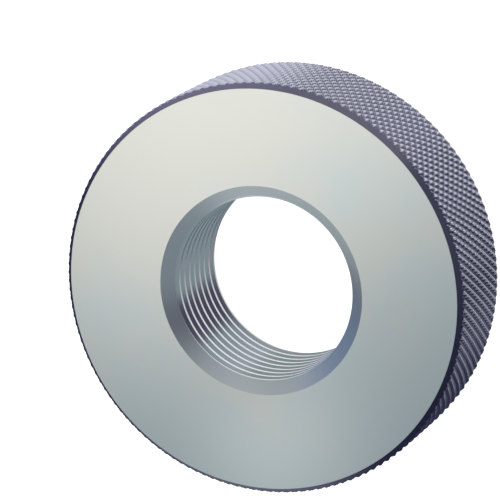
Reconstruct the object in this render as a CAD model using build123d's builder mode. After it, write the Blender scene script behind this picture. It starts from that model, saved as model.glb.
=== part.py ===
from build123d import *

import os
from math import ceil, cos, pi, radians, sin, tan

# GO thread ring gauge for an M30 x 2 right-hand thread: one hardened and ground steel ring.
# It lies on an end face. The origin is the centre of that face, and the bore runs up along +Z.
# Millimetres and degrees.

# Ring
OUTSIDE_DIAMETER = 63.0
WIDTH = 18.5
RIM_CHAMFER = 1.0  # cut after knurling, with one flat to each tooth of the knurl
RIM_CHAMFER_ANGLE = 45.0

# Threaded bore, at the minor diameter that the crests of the thread are ground to
THREAD_MAJOR_DIAMETER = 30.0
THREAD_PITCH = 2.0
CREST_HEIGHT_PER_PITCH = 0.5412658  # ISO metric: 5/8 of the height of the sharp 60-degree triangle
LEAD_IN_DIAMETER = 31.9  # mouth of the countersink at both ends
LEAD_IN_ANGLE = 120.0  # included, so that the lead-in lies parallel to a flank of the thread

# Diamond knurl on the rim, 30 degrees right and left, crests raised
KNURL_TEETH = 144
KNURL_ANGLE = 30.0
KNURL_DEPTH = 0.45

# Derived sizes
OUTSIDE_RADIUS = OUTSIDE_DIAMETER / 2
MINOR_RADIUS = THREAD_MAJOR_DIAMETER / 2 - CREST_HEIGHT_PER_PITCH * THREAD_PITCH
LEAD_IN_RADIUS = LEAD_IN_DIAMETER / 2
RIM_CLEARANCE = RIM_CHAMFER  # by which the blank stands clear of the crests
TOOTH_WIDTH = pi * OUTSIDE_DIAMETER / KNURL_TEETH
ROW_HEIGHT = TOOTH_WIDTH / 2 / tan(radians(KNURL_ANGLE))
BANDS = 2 * ceil(WIDTH / 2 / ROW_HEIGHT) + 1  # an odd number, which runs past both end faces
FIRST_ROW_HEIGHT = WIDTH / 2 - BANDS / 2 * ROW_HEIGHT


def lattice_point(column, row):
    """A corner of the knurl, half a tooth apart around the rim and one row apart along it.

    Crests and groove crossings alternate like the squares of a chessboard, with a crest at (0, 0).
    """
    is_crest = (column + row) % 2 == 0
    radius = OUTSIDE_RADIUS if is_crest else OUTSIDE_RADIUS - KNURL_DEPTH
    angle = radians(column * 180 / KNURL_TEETH)
    return Vector(radius * cos(angle), radius * sin(angle), FIRST_ROW_HEIGHT + row * ROW_HEIGHT)


def tooth_flanks(row):
    """The flat flanks of the tooth in this row whose crest is nearest to the +X side.

    A tooth is a four-sided pyramid. One whose crest lies on an end plane keeps its inner half.
    """
    column = row % 2
    crest = lattice_point(column, row)
    corners = [(column - 1, row), (column, row + 1), (column + 1, row), (column, row - 1)]
    return [
        Face(Wire.make_polygon([crest, lattice_point(*first), lattice_point(*second)]))
        for first, second in zip(corners, corners[1:] + corners[:1])
        if min(first[1], second[1]) >= 0 and max(first[1], second[1]) <= BANDS
    ]


def end_polygon(row):
    """The flat end of the knurled bar at this row, through every lattice point on it."""
    return Face(Wire.make_polygon([lattice_point(column, row) for column in range(2 * KNURL_TEETH)]))


def knurled_bar():
    """Solid round bar with the knurl all over its rim, a little longer than the ring is wide."""
    one_column = [flank for row in range(BANDS + 1) for flank in tooth_flanks(row)]
    rim = [spot * flank for spot in PolarLocations(0, KNURL_TEETH) for flank in one_column]
    return Solid(Shell([*rim, end_polygon(0), end_polygon(BANDS)]))


with BuildPart() as gauge_ring:
    # Blank with a flat over each tooth. Its rim chamfers run on past the crests, where the knurl
    # ends them.
    with BuildSketch(Plane.XY.offset(WIDTH / 2)):
        blank_inradius = OUTSIDE_RADIUS + RIM_CLEARANCE
        RegularPolygon(blank_inradius, KNURL_TEETH, major_radius=False, rotation=180 / KNURL_TEETH)
    extrude(amount=WIDTH / 2 - RIM_CHAMFER - RIM_CLEARANCE)
    top_face = gauge_ring.faces().sort_by(Axis.Z)[-1]
    extrude(top_face, amount=RIM_CHAMFER + RIM_CLEARANCE, taper=RIM_CHAMFER_ANGLE)
    mirror(about=Plane.XY.offset(WIDTH / 2))

    add(knurled_bar(), mode=Mode.INTERSECT)

    with Locations(Plane.XY.offset(WIDTH), -Plane.XY):
        CounterSinkHole(MINOR_RADIUS, LEAD_IN_RADIUS, depth=WIDTH, counter_sink_angle=LEAD_IN_ANGLE)

gauge_ring.part.label = "gauge_ring"

os.makedirs("parts", exist_ok=True)
export_step(gauge_ring.part, "parts/gauge_ring.step")
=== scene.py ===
import math

import bpy
from bpy.props import FloatProperty, FloatVectorProperty, IntProperty, PointerProperty
from mathutils import Matrix, Vector


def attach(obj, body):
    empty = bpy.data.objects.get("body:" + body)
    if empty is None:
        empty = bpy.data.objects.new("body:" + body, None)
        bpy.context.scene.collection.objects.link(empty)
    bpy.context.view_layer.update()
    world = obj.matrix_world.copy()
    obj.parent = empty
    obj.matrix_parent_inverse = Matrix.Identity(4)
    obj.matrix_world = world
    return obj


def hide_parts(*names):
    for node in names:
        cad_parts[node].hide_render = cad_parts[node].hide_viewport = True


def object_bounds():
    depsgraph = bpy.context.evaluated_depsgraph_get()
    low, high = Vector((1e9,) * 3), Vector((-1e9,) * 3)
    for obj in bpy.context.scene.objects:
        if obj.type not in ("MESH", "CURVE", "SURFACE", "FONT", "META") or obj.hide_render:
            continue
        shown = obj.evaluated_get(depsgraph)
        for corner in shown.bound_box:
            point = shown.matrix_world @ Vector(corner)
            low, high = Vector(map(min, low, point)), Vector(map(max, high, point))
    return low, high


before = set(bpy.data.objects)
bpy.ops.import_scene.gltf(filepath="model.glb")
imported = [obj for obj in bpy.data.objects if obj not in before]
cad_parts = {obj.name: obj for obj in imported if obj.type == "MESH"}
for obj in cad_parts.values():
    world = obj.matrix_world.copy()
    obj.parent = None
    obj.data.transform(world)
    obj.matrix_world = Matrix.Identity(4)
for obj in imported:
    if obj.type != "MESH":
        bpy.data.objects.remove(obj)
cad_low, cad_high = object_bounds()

bl_info = {
    "name": "Thread ring gauge",
    "version": (1, 0, 0),
    "blender": (4, 5, 0),
    "location": "View3D > Sidebar > Ring gauge",
    "description": "Makes a knurled steel thread ring gauge and a plain studio around it",
    "category": "Add Mesh",
}

MM = 0.001
CAD_RING = "gauge_ring"
PIECE = "steel_ring"

CAD_DIAMETER = cad_high.x - cad_low.x
CAD_WIDTH = cad_high.z - cad_low.z

# ISO metric internal thread, in parts of the pitch
THREAD_DEPTH = 0.5412658
ROOT_WIDTH = 0.125
FLANK_LEAN = math.radians(30)  # between a flank and a plane across the bore


# ---------------------------------------------------------------- sizes and colours


class RingSizes(bpy.types.PropertyGroup):
    """Sizes of the ring, its thread and its knurl."""

    outside_diameter: FloatProperty(
        name="Outside diameter",
        description="Over the crests of the knurl",
        default=CAD_DIAMETER,
        unit="LENGTH",
    )
    width: FloatProperty(
        name="Width",
        description="From one ground end face to the other",
        default=CAD_WIDTH,
        unit="LENGTH",
    )
    rim_chamfer: FloatProperty(
        name="Rim chamfer",
        description="45-degree chamfer between an end face and the knurl",
        default=1.0 * MM,
        unit="LENGTH",
    )
    thread_diameter: FloatProperty(
        name="Thread diameter",
        description="Major diameter of the gauged thread",
        default=30.0 * MM,
        unit="LENGTH",
    )
    thread_pitch: FloatProperty(
        name="Thread pitch",
        description="Rise of the right-hand thread in one turn",
        default=2.0 * MM,
        unit="LENGTH",
    )
    thread_start: FloatProperty(
        name="Thread start",
        description="Angle by which the thread is turned about the axis of the bore",
        default=math.radians(180.0),
        unit="ROTATION",
    )
    lead_in_diameter: FloatProperty(
        name="Lead-in diameter",
        description="Mouth of the countersink at both ends of the bore",
        default=31.9 * MM,
        unit="LENGTH",
    )
    lead_in_angle: FloatProperty(
        name="Lead-in angle",
        description="Included angle of the countersink at both ends of the bore",
        default=math.radians(120.0),
        unit="ROTATION",
    )
    knurl_teeth: IntProperty(
        name="Knurl teeth",
        description="Teeth of the diamond knurl around the rim",
        default=144,
    )
    knurl_angle: FloatProperty(
        name="Knurl angle",
        description="Lean of both sets of grooves away from the axis",
        default=math.radians(30.0),
        unit="ROTATION",
    )
    knurl_depth: FloatProperty(
        name="Knurl depth",
        description="From the crests of the knurl to its grooves",
        default=0.45 * MM,
        unit="LENGTH",
    )
    left_hand_share: FloatProperty(
        name="Left-hand depth",
        description="Depth of the knurl's left-hand grooves as a share of its right-hand ones",
        default=0.82,
        subtype="FACTOR",
    )
    crest_rounding: FloatProperty(
        name="Crest rounding",
        description="How much of the knurl's depth the rounding of its crests takes",
        default=0.4,
        subtype="FACTOR",
    )


class SteelColours(bpy.types.PropertyGroup):
    """Colours of the gauge steel."""

    ground: FloatVectorProperty(
        name="Ground faces",
        description="Colour of the ground end faces",
        default=(0.62, 0.605, 0.565),
        subtype="COLOR",
    )
    # Bloom and painted shade: this colour is the faint cloudy bloom of the faces, and also a
    # painted shade that tints them a cooler blue-grey towards -X.
    bloom_and_painted_shade: FloatVectorProperty(
        name="Face bloom",
        description="Colour of the faint cloudy bloom on the end faces",
        default=(0.565, 0.6, 0.6),
        subtype="COLOR",
    )
    # Painted shade: the chamfers are coloured dark navy in place of the dark room that they
    # reflect.
    chamfer: FloatVectorProperty(
        name="Rim chamfer",
        description="Colour of the darkened rim chamfers",
        default=(0.21, 0.195, 0.26),
        subtype="COLOR",
    )
    knurled: FloatVectorProperty(
        name="Knurl crests",
        description="Colour of the flanks and crests of the knurl",
        default=(0.56, 0.56, 0.62),
        subtype="COLOR",
    )
    # Painted shade: towards the bottoms of the knurl's grooves the colour darkens to this one, as
    # shade in the recesses.
    groove: FloatVectorProperty(
        name="Knurl grooves",
        description="Colour at the bottom of the knurl's grooves",
        default=(0.32, 0.32, 0.4),
        subtype="COLOR",
    )
    lead_in: FloatVectorProperty(
        name="Lead-ins",
        description="Colour of the countersinks at both ends of the bore",
        default=(0.61, 0.62, 0.63),
        subtype="COLOR",
    )
    thread: FloatVectorProperty(
        name="Thread flanks",
        description="Colour of the flanks and grooves of the thread",
        default=(0.7, 0.745, 0.745),
        subtype="COLOR",
    )
    crest: FloatVectorProperty(
        name="Thread crests",
        description="Colour of the bright crests of the thread",
        default=(0.72, 0.7, 0.7),
        subtype="COLOR",
    )


class StudioSettings(bpy.types.PropertyGroup):
    """Floor, lights and camera."""

    floor_radius: FloatProperty(
        name="Floor radius",
        description="Radius of the pale floor",
        default=0.6,
        unit="LENGTH",
    )
    brightness: FloatProperty(
        name="Brightness",
        description="Strength of all the soft lights together",
        default=1.0,
        min=0.0,
    )


# ---------------------------------------------------------------- node maker


class Link:
    """One output of a node. A sum on it adds Math nodes to its tree."""

    def __init__(self, maker, socket):
        self.maker = maker
        self.socket = socket

    def other(self, name):
        """Another output of the same node."""
        return Link(self.maker, self.socket.node.outputs[name])

    def __add__(self, value):
        return self.maker.sum("ADD", self, value)

    def __sub__(self, value):
        return self.maker.sum("SUBTRACT", self, value)

    def __rsub__(self, value):
        return self.maker.sum("SUBTRACT", value, self)

    def __mul__(self, value):
        return self.maker.sum("MULTIPLY", self, value)

    def __truediv__(self, value):
        return self.maker.sum("DIVIDE", self, value)

    def __rtruediv__(self, value):
        return self.maker.sum("DIVIDE", value, self)

    __radd__ = __add__
    __rmul__ = __mul__


class NodeMaker:
    """Adds nodes to one shader or geometry tree."""

    def __init__(self, tree):
        self.tree = tree

    def node(self, kind, settings=None, **values):
        """One node, and a link to its first output if it has one.

        Its settings are set first, then its sockets, by identifier or by name. An underscore in a
        socket's keyword stands for a space. A list feeds a multi-input socket.
        """
        made = self.tree.nodes.new(kind)
        for name, setting in (settings or {}).items():
            setattr(made, name, setting)
        sockets = {socket.identifier: socket for socket in made.inputs}
        for key, value in values.items():
            socket = sockets[key] if key in sockets else made.inputs[key.replace("_", " ")]
            for entry in value if isinstance(value, list) else [value]:
                if isinstance(entry, Link):
                    self.tree.links.new(entry.socket, socket)
                else:
                    socket.default_value = entry
        return Link(self, next((socket for socket in made.outputs if socket.enabled), None))

    def sum(self, operation, first, second=0.0, third=0.0):
        """One Math node."""
        values = {"Value": first, "Value_001": second, "Value_002": third}
        return self.node("ShaderNodeMath", {"operation": operation}, **values)

    def parts(self, vector):
        """The X, Y and Z of a vector."""
        x = self.node("ShaderNodeSeparateXYZ", Vector=vector)
        return x, x.other("Y"), x.other("Z")

    def band(self, value, low, high):
        """Rises smoothly from 0 to 1 as value goes from low to high."""
        return self.node(
            "ShaderNodeMapRange",
            {"interpolation_type": "SMOOTHSTEP"},
            Value=value,
            From_Min=low,
            From_Max=high,
        )

    def dot(self, first, second):
        """The dot product of two vectors."""
        values = {"Vector": first, "Vector_001": second}
        return self.node("ShaderNodeVectorMath", {"operation": "DOT_PRODUCT"}, **values)

    def mix(self, factor, first, second):
        """A colour between two colours."""
        return self.node(
            "ShaderNodeMix",
            {"data_type": "RGBA"},
            Factor_Float=factor,
            A_Color=first,
            B_Color=second,
        )


def new_geometry_tree(name, inputs):
    """A geometry tree with named inputs, and those inputs as links."""
    tree = bpy.data.node_groups.new(name, "GeometryNodeTree")
    for label, kind in inputs:
        tree.interface.new_socket(label, in_out="INPUT", socket_type=kind)
    tree.interface.new_socket("Geometry", in_out="OUTPUT", socket_type="NodeSocketGeometry")
    maker = NodeMaker(tree)
    given = maker.node("NodeGroupInput")
    return maker, [given.other(label) for label, _ in inputs]


def plain_mesh_from_tree(name, tree, values):
    """Runs a geometry tree on an empty mesh and returns an object with the plain mesh it gives.

    The values go to the tree's inputs by name.
    """
    seed_mesh = bpy.data.meshes.new(name)
    made = bpy.data.objects.new(name, seed_mesh)
    bpy.context.scene.collection.objects.link(made)
    modifier = made.modifiers.new(name, "NODES")
    modifier.node_group = tree
    for socket in tree.interface.items_tree:
        if socket.in_out == "INPUT":
            modifier[socket.identifier] = values[socket.name]
    depsgraph = bpy.context.evaluated_depsgraph_get()
    plain = bpy.data.meshes.new_from_object(made.evaluated_get(depsgraph), depsgraph=depsgraph)
    made.modifiers.remove(modifier)
    made.data = plain
    plain.name = name
    bpy.data.meshes.remove(seed_mesh)
    return made


# ---------------------------------------------------------------- ring

BORE_STEPS = 288
STEPS_PER_HALF_TOOTH = 3
RUN_OUT = 1.0 * MM  # by which each cutter passes the face that it cuts
INSIDE_REACH = 0.15  # of the pitch, by which the thread cutter reaches inside the bore
EXTRA_TURNS = 2.0  # of the thread cutter, past each end face
SECTION_TURN = (0.0, 0.0, math.radians(90))  # puts the wide side of its section towards the axis
WELD = 0.001 * MM  # closes the slivers that the cuts leave
SHARP_EDGE = math.radians(28)
CREST_LOSS = 0.5 + 0.125 / 6  # what the smooth minimum takes off a crest, in parts of the rounding


def knurled_bar(maker, diameter, width, teeth, angle, depth, left_hand_share, rounding):
    """A bar with raised diamonds all over its rim, a little longer than the ring is wide."""
    half_tooth_angle = math.pi / teeth
    row_height = diameter * 0.5 * half_tooth_angle / maker.sum("TANGENT", angle)
    bands = maker.sum("CEIL", width * 0.5 / row_height) * 2 + 1
    bar = maker.node(
        "GeometryNodeMeshCylinder",
        {"fill_type": "NGON"},
        Vertices=teeth * (2 * STEPS_PER_HALF_TOOTH),
        Side_Segments=bands * STEPS_PER_HALF_TOOTH,
        Radius=diameter * 0.5,
        Depth=bands * row_height,
    )
    x, y, z = maker.parts(maker.node("GeometryNodeInputPosition"))
    column = maker.sum("ARCTAN2", y, x) / half_tooth_angle
    row = z / row_height + bands * 0.5

    # Each cell of the lattice is split along the groove that crosses it.
    cell = maker.sum("FLOOR", column) + maker.sum("FLOOR", row)
    is_odd = maker.sum("PINGPONG", cell, 1.0)
    for method, wanted in (("FIXED", is_odd), ("FIXED_ALTERNATE", 1 - is_odd)):
        chosen = maker.node("FunctionNodeCompare", {"operation": "GREATER_THAN"}, A=wanted, B=0.5)
        bar = maker.node(
            "GeometryNodeTriangulate", {"quad_method": method}, Mesh=bar, Selection=chosen
        )

    # Right-hand and left-hand grooves, of which the deeper one counts, under rounded crests.
    right_hand = 1 - maker.sum("PINGPONG", column - row, 1.0)
    left_hand = 1 - maker.sum("PINGPONG", column + row, 1.0) * left_hand_share
    sharp = maker.sum("MINIMUM", right_hand, left_hand)
    height = maker.sum("SMOOTH_MIN", sharp, 1 - rounding * 0.5, rounding)
    crest = 1 - rounding * CREST_LOSS
    inward = (height / crest - 1) * depth / (diameter * 0.5)
    offset = maker.node("ShaderNodeCombineXYZ", X=x * inward, Y=y * inward)
    return maker.node("GeometryNodeSetPosition", Geometry=bar, Offset=offset)


def cone(maker, z_low, z_high, radius_low, radius_high):
    """A solid frustum of a cone on the Z axis."""
    made = maker.node(
        "GeometryNodeMeshCone",
        {"fill_type": "NGON"},
        Vertices=BORE_STEPS,
        Radius_Top=radius_high,
        Radius_Bottom=radius_low,
        Depth=z_high - z_low,
    )
    lift = maker.node("ShaderNodeCombineXYZ", Z=z_low)
    return maker.node("GeometryNodeTransform", Geometry=made, Translation=lift)


def thread_cutter(maker, width, diameter, pitch, start):
    """The right-hand 60-degree thread groove as a solid, which runs past both end faces.

    It reaches a little inside the bore, so that it cuts the wall cleanly.
    """
    groove_depth = pitch * (THREAD_DEPTH + INSIDE_REACH)
    root_width = pitch * ROOT_WIDTH
    mouth_width = root_width + groove_depth * (2 * math.tan(FLANK_LEAN))
    turns = width / pitch + 2 * EXTRA_TURNS
    path_radius = diameter * 0.5 - groove_depth * 0.5
    path = maker.node(
        "GeometryNodeCurveSpiral",
        None,
        Resolution=BORE_STEPS,
        Rotations=turns,
        Start_Radius=path_radius,
        End_Radius=path_radius,
        Height=turns * pitch,
    )
    path = maker.node("GeometryNodeSetCurveNormal", {"mode": "Z_UP"}, Curve=path)
    section = maker.node(
        "GeometryNodeCurvePrimitiveQuadrilateral",
        {"mode": "TRAPEZOID"},
        Height=groove_depth,
        Bottom_Width=mouth_width,
        Top_Width=root_width,
        Offset=0.0,
    )
    section = maker.node("GeometryNodeTransform", Geometry=section, Rotation=SECTION_TURN)
    cutter = maker.node(
        "GeometryNodeCurveToMesh", None, Curve=path, Profile_Curve=section, Fill_Caps=True
    )
    lift = maker.node("ShaderNodeCombineXYZ", Z=-EXTRA_TURNS * pitch)
    turn = maker.node("ShaderNodeCombineXYZ", Z=start)
    return maker.node("GeometryNodeTransform", Geometry=cutter, Translation=lift, Rotation=turn)


def ring_tree():
    """The geometry tree of the whole ring."""
    maker, links = new_geometry_tree(
        "Thread ring gauge",
        [
            ("Outside Diameter", "NodeSocketFloat"),
            ("Width", "NodeSocketFloat"),
            ("Rim Chamfer", "NodeSocketFloat"),
            ("Thread Diameter", "NodeSocketFloat"),
            ("Thread Pitch", "NodeSocketFloat"),
            ("Thread Start", "NodeSocketFloat"),
            ("Lead-in Diameter", "NodeSocketFloat"),
            ("Lead-in Angle", "NodeSocketFloat"),
            ("Knurl Teeth", "NodeSocketInt"),
            ("Knurl Angle", "NodeSocketFloat"),
            ("Knurl Depth", "NodeSocketFloat"),
            ("Left-hand Depth", "NodeSocketFloat"),
            ("Crest Rounding", "NodeSocketFloat"),
            ("Steel", "NodeSocketMaterial"),
        ],
    )
    diameter, width, chamfer, thread, pitch, start = links[:6]
    lead_in, lead_in_angle, teeth, angle, depth, left_hand_share, rounding, steel = links[6:]

    bar = knurled_bar(maker, diameter, width, teeth, angle, depth, left_hand_share, rounding)
    bar = maker.node(
        "GeometryNodeTransform",
        Geometry=bar,
        Translation=maker.node("ShaderNodeCombineXYZ", Z=width * 0.5),
    )

    # Two frustums, each flush with one end face, turn the chamfers and face the ends.
    face_radius = diameter * 0.5 - chamfer
    reach = width + RUN_OUT
    low_blank = cone(maker, 0.0, reach, face_radius, face_radius + reach)
    high_blank = cone(maker, -RUN_OUT, width, face_radius + reach, face_radius)
    turned = maker.node(
        "GeometryNodeMeshBoolean",
        {"operation": "INTERSECT", "solver": "MANIFOLD"},
        Mesh_2=[bar, low_blank, high_blank],
    )

    bore_radius = thread * 0.5 - pitch * THREAD_DEPTH
    bore = cone(maker, -RUN_OUT, reach, bore_radius, bore_radius)
    spread = maker.sum("TANGENT", lead_in_angle * 0.5)
    mouth = lead_in * 0.5
    outer = mouth + spread * RUN_OUT
    inner = bore_radius - spread * RUN_OUT
    lead_in_depth = (mouth - bore_radius) / spread + RUN_OUT
    low_lead_in = cone(maker, -RUN_OUT, lead_in_depth, outer, inner)
    high_lead_in = cone(maker, width - lead_in_depth, reach, inner, outer)
    groove = thread_cutter(maker, width, thread, pitch, start)
    ring = maker.node(
        "GeometryNodeMeshBoolean",
        {"operation": "DIFFERENCE", "solver": "MANIFOLD"},
        Mesh_1=turned,
        Mesh_2=[bore, low_lead_in, high_lead_in, groove],
    )
    ring = maker.node("GeometryNodeMergeByDistance", Geometry=ring, Distance=WELD)

    sharp = maker.node(
        "FunctionNodeCompare",
        {"operation": "GREATER_THAN"},
        A=maker.node("GeometryNodeInputMeshEdgeAngle"),
        B=SHARP_EDGE,
    )
    ring = maker.node(
        "GeometryNodeSetShadeSmooth",
        {"domain": "EDGE"},
        Geometry=ring,
        Selection=sharp,
        Shade_Smooth=False,
    )
    ring = maker.node("GeometryNodeRealizeInstances", Geometry=ring)
    ring = maker.node("GeometryNodeSetMaterial", Geometry=ring, Material=steel)
    maker.node("NodeGroupOutput", Geometry=ring)
    return maker.tree


class GAUGE_OT_make_ring(bpy.types.Operator):
    """Make the knurled steel ring with its threaded bore"""

    bl_idname = "gauge.make_ring"
    bl_label = "Make ring"
    bl_options = {"REGISTER", "UNDO"}

    def execute(self, context):
        sizes = context.scene.ring_sizes
        values = {
            "Outside Diameter": sizes.outside_diameter,
            "Width": sizes.width,
            "Rim Chamfer": sizes.rim_chamfer,
            "Thread Diameter": sizes.thread_diameter,
            "Thread Pitch": sizes.thread_pitch,
            "Thread Start": sizes.thread_start,
            "Lead-in Diameter": sizes.lead_in_diameter,
            "Lead-in Angle": sizes.lead_in_angle,
            "Knurl Teeth": sizes.knurl_teeth,
            "Knurl Angle": sizes.knurl_angle,
            "Knurl Depth": sizes.knurl_depth,
            "Left-hand Depth": sizes.left_hand_share,
            "Crest Rounding": sizes.crest_rounding,
            "Steel": gauge_steel(sizes, context.scene.steel_colours),
        }
        ring = plain_mesh_from_tree(PIECE, ring_tree(), values)
        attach(ring, "root")
        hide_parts(CAD_RING)
        return {"FINISHED"}


# ---------------------------------------------------------------- steel

FACE_ROUGHNESS = 0.38
KNURL_ROUGHNESS = 0.22
LEAD_IN_ROUGHNESS = 0.32
FLANK_ROUGHNESS = 0.15
HAIR = 0.01 * MM  # the step in which one finish gives way to the next is a few of these
THREAD_FADE = 1.5 * MM  # depth over which the finish of the lead-in turns into the thread's
PAINTED_GROOVE_SHADE = 0.7  # of the knurl's depth, over which painted shade darkens its grooves
BLOOM_SCALE = 60.0


def gauge_steel(sizes, colours):
    """Ground, knurled and threaded steel, told apart by where they are on the ring."""
    material = bpy.data.materials.new("Gauge steel")
    material.use_nodes = True
    material.node_tree.nodes.clear()
    maker = NodeMaker(material.node_tree)
    place = maker.node("ShaderNodeTexCoord").other("Object")
    x, y, z = maker.parts(place)
    radius = maker.sum("SQRT", x * x + y * y)
    outside = sizes.outside_diameter / 2
    mouth = sizes.lead_in_diameter / 2
    below_face = sizes.width / 2 - maker.sum("ABSOLUTE", z - sizes.width / 2)

    on_face = 1 - maker.band(below_face, HAIR, 3 * HAIR)
    in_bore = 1 - maker.band(radius, mouth, mouth + 10 * HAIR)
    # Painted shade on the chamfers: there the colour turns dark navy.
    past_chamfer = radius - (outside - sizes.rim_chamfer) - below_face
    painted_shade_on_chamfer = maker.band(past_chamfer, -4 * HAIR, -2 * HAIR) * (1 - in_bore) * (1 - on_face)
    # Painted shade in the knurl's grooves: the colour darkens towards their bottoms.
    groove_shade_radius = outside - sizes.knurl_depth
    groove = 1 - maker.band(radius, groove_shade_radius, groove_shade_radius + PAINTED_GROOVE_SHADE * sizes.knurl_depth)
    crest_radius = sizes.thread_diameter / 2 - THREAD_DEPTH * sizes.thread_pitch
    on_crest = 1 - maker.band(radius, crest_radius + HAIR, crest_radius + 5 * HAIR)
    lead_in_depth = (mouth - crest_radius) / math.tan(sizes.lead_in_angle / 2)
    threaded = in_bore * maker.band(below_face, lead_in_depth, lead_in_depth + THREAD_FADE)

    noise = maker.node(
        "ShaderNodeTexNoise", None, Vector=place, Scale=BLOOM_SCALE, Detail=3.0, Roughness=0.5
    )
    # The cloudy noise is random tone; the term in x is painted shade, which tints the faces a
    # cooler blue-grey towards -X.
    bloom_and_painted_shade = maker.band(noise - x / (2 * sizes.outside_diameter), 0.3, 0.7)
    face = maker.mix(bloom_and_painted_shade, (*colours.ground, 1), (*colours.bloom_and_painted_shade, 1))
    rim = maker.mix(groove, (*colours.knurled, 1), (*colours.groove, 1))
    rim = maker.mix(painted_shade_on_chamfer, rim, (*colours.chamfer, 1))
    bore = maker.mix(threaded, (*colours.lead_in, 1), (*colours.thread, 1))
    bore = maker.mix(on_crest, bore, (*colours.crest, 1))
    colour = maker.mix(on_face, maker.mix(in_bore, rim, bore), face)

    roughness = (
        KNURL_ROUGHNESS
        + on_face * (FACE_ROUGHNESS - KNURL_ROUGHNESS)
        + in_bore * (1 - on_face) * (LEAD_IN_ROUGHNESS - KNURL_ROUGHNESS)
        - threaded * (1 - on_crest) * (LEAD_IN_ROUGHNESS - FLANK_ROUGHNESS)
    )
    surface = maker.node(
        "ShaderNodeBsdfPrincipled", None, Base_Color=colour, Metallic=1.0, Roughness=roughness
    )
    maker.node("ShaderNodeOutputMaterial", Surface=surface)
    return material


# ---------------------------------------------------------------- studio

# The camera stands over the -Y side and looks down on the ring at 65 degrees above the floor.
CAMERA_PLACE = Vector((5.97, -212.8, 473.9)) * MM
CAMERA_RIGHT = Vector((-0.5385, -0.7648, -0.3536))
CAMERA_UP = Vector((0.8426, -0.4888, -0.2260))
CAMERA_LENS = 244.32

FLOOR_COLOUR = (0.9, 0.9, 0.9)
FLOOR_GLOW = 1.1
MATT = 0.9  # roughness of the floor
FLOOR_GAP = 0.02 * MM

# Both soft lights lean the same way, so that the upper face mirrors them towards the camera.
LIGHT_DIRECTION = Vector((0.0, 0.42, 0.907)).normalized()
# Name, where on the upper face it aims, distance, size, power and colour of each.
LIGHTS = (
    ("key", Vector((55, -38, 0)) * MM, 155 * MM, (115 * MM, 130 * MM), 0.066, (1.0, 0.98, 0.92)),
    ("fill", Vector((-25, 12, 0)) * MM, 45 * MM, (20 * MM, 20 * MM), 0.0008, (1.0, 1.0, 0.98)),
)
# The room as the steel mirrors it: dark up to a little above the horizon and slate overhead, with
# soft patches, of which a later one lies over an earlier one. A patch starts to show where the
# cosine of the angle from its direction passes the first number, and is full from the second on.
HORIZON = (0.08, 0.09, 0.17, 1)
ABOVE = (0.28, 0.34, 0.38, 1)
HORIZON_TOP = 0.15  # as the sine of the elevation, like the next
ABOVE_FROM = 0.5
BACKDROP = (1, 1, 1, 1)  # behind the ring, as the camera sees it
ROOM_PATCHES = (
    ("bright side", (0.9, -0.2, 0.35), 0.5, 0.97, (0.44, 0.48, 0.54, 1)),
    ("blue side", (0.744, 0.60, 0.30), 0.85, 0.98, (0.16, 0.25, 0.42, 1)),
    ("far side", (-0.4, 0.87, 0.2), 0.7, 0.95, (0.58, 0.66, 0.69, 1)),
    ("dark floor", (-0.55, -0.4, -0.6), 0.3, 0.75, (0.035, 0.04, 0.075, 1)),
    ("light floor", (0.8, -0.15, -0.6), 0.5, 0.82, (0.87, 0.89, 1.0, 1)),
    ("near side", (0.5, -0.7, 0.32), 0.86, 0.97, (0.6, 0.63, 0.64, 1)),
    ("near floor", (-0.28, -0.8, -0.5), 0.88, 0.99, (0.26, 0.27, 0.34, 1)),
    ("floor below", (0.15, -0.2, -1.0), 0.74, 0.95, (1.15, 1.18, 1.2, 1)),
    ("camera", (-0.17, -0.54, 0.81), 0.945, 0.99, (0.075, 0.07, 0.115, 1)),
    ("upper side", (0.73, -0.10, 0.67), 0.92, 0.99, (0.27, 0.32, 0.34, 1)),
)


def flat_material(name, colour, glow):
    """A plain matt material with a little light of its own."""
    material = bpy.data.materials.new(name)
    material.use_nodes = True
    surface = material.node_tree.nodes["Principled BSDF"]
    surface.inputs["Base Color"].default_value = (*colour, 1)
    surface.inputs["Roughness"].default_value = MATT
    surface.inputs["Emission Color"].default_value = (*colour, 1)
    surface.inputs["Emission Strength"].default_value = glow
    return material


def soft_light(name, place, target, size, power, colour):
    """A rectangular soft light at place, turned to face target."""
    light = bpy.data.lights.new(name, "AREA")
    light.shape = "RECTANGLE"
    light.size, light.size_y = size
    light.energy = power
    light.color = colour
    holder = bpy.data.objects.new(name, light)
    holder.location = place
    holder.rotation_euler = (target - place).to_track_quat("-Z", "Y").to_euler()
    bpy.context.scene.collection.objects.link(holder)


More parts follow.
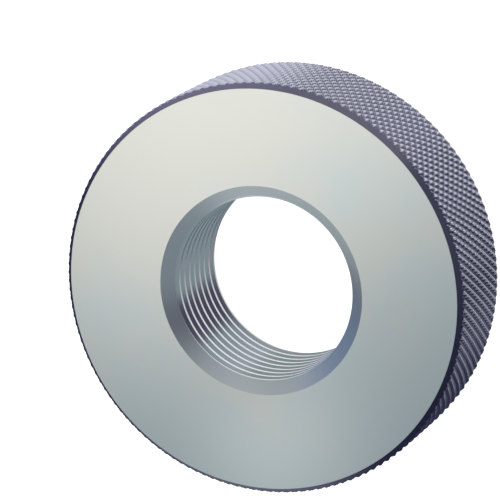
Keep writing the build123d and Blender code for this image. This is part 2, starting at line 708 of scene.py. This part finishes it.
class GAUGE_OT_make_studio(bpy.types.Operator):
    """Make the pale floor, the soft lights, the surroundings and the camera"""

    bl_idname = "gauge.make_studio"
    bl_label = "Make studio"
    bl_options = {"REGISTER", "UNDO"}

    def execute(self, context):
        settings = context.scene.studio_settings
        bpy.ops.mesh.primitive_circle_add(
            vertices=128,
            radius=settings.floor_radius,
            fill_type="NGON",
            location=(0, 0, -FLOOR_GAP),
        )
        floor = context.active_object
        floor.name = "floor"
        floor.data.materials.append(flat_material("Pale floor", FLOOR_COLOUR, FLOOR_GLOW))
        floor.visible_glossy = False

        for name, aim, distance, size, power, colour in LIGHTS:
            target = aim + Vector((0, 0, CAD_WIDTH))
            place = target + LIGHT_DIRECTION * distance
            soft_light(name, place, target, size, power * settings.brightness, colour)

        world = bpy.data.worlds.new("Studio")
        world.use_nodes = True
        world.node_tree.nodes.clear()
        maker = NodeMaker(world.node_tree)
        towards = maker.node("ShaderNodeTexCoord")
        height = maker.parts(towards)[2]
        colour = maker.mix(maker.band(height, HORIZON_TOP, ABOVE_FROM), HORIZON, ABOVE)
        for name, direction, start, full, patch_colour in ROOM_PATCHES:
            nearness = maker.dot(towards, Vector(direction).normalized())
            colour = maker.mix(maker.band(nearness, start, full), colour, patch_colour)
            colour.socket.node.label = name
        is_camera_ray = maker.node("ShaderNodeLightPath")
        colour = maker.mix(is_camera_ray, colour, BACKDROP)
        around = maker.node("ShaderNodeBackground", None, Color=colour)
        maker.node("ShaderNodeOutputWorld", Surface=around)
        context.scene.world = world
        context.scene.view_settings.view_transform = "Standard"

        lens = bpy.data.cameras.new("camera")
        lens.lens = CAMERA_LENS
        lens.sensor_width = 36.0
        lens.clip_start = 0.01
        camera = bpy.data.objects.new("camera", lens)
        context.scene.collection.objects.link(camera)
        turn = Matrix((CAMERA_RIGHT, CAMERA_UP, CAMERA_RIGHT.cross(CAMERA_UP))).transposed()
        camera.rotation_euler = turn.to_euler()
        camera.location = CAMERA_PLACE
        context.scene.camera = camera
        return {"FINISHED"}


# ---------------------------------------------------------------- panel and start


class GAUGE_PT_sidebar(bpy.types.Panel):
    """Sizes, colours and studio of the ring gauge"""

    bl_label = "Ring gauge"
    bl_space_type = "VIEW_3D"
    bl_region_type = "UI"
    bl_category = "Ring gauge"

    def draw(self, context):
        scene = context.scene
        for group in (scene.ring_sizes, scene.steel_colours, scene.studio_settings):
            for name in group.__annotations__:
                self.layout.prop(group, name)
        self.layout.operator(GAUGE_OT_make_ring.bl_idname)
        self.layout.operator(GAUGE_OT_make_studio.bl_idname)


CLASSES = (
    RingSizes,
    SteelColours,
    StudioSettings,
    GAUGE_OT_make_ring,
    GAUGE_OT_make_studio,
    GAUGE_PT_sidebar,
)


def register():
    for each in CLASSES:
        bpy.utils.register_class(each)
    bpy.types.Scene.ring_sizes = PointerProperty(type=RingSizes)
    bpy.types.Scene.steel_colours = PointerProperty(type=SteelColours)
    bpy.types.Scene.studio_settings = PointerProperty(type=StudioSettings)


def unregister():
    del bpy.types.Scene.studio_settings
    del bpy.types.Scene.steel_colours
    del bpy.types.Scene.ring_sizes
    for each in reversed(CLASSES):
        bpy.utils.unregister_class(each)


def main():
    """Makes the ring and its studio."""
    register()
    bpy.ops.gauge.make_ring()
    bpy.ops.gauge.make_studio()


if __name__ == "__main__":
    main()
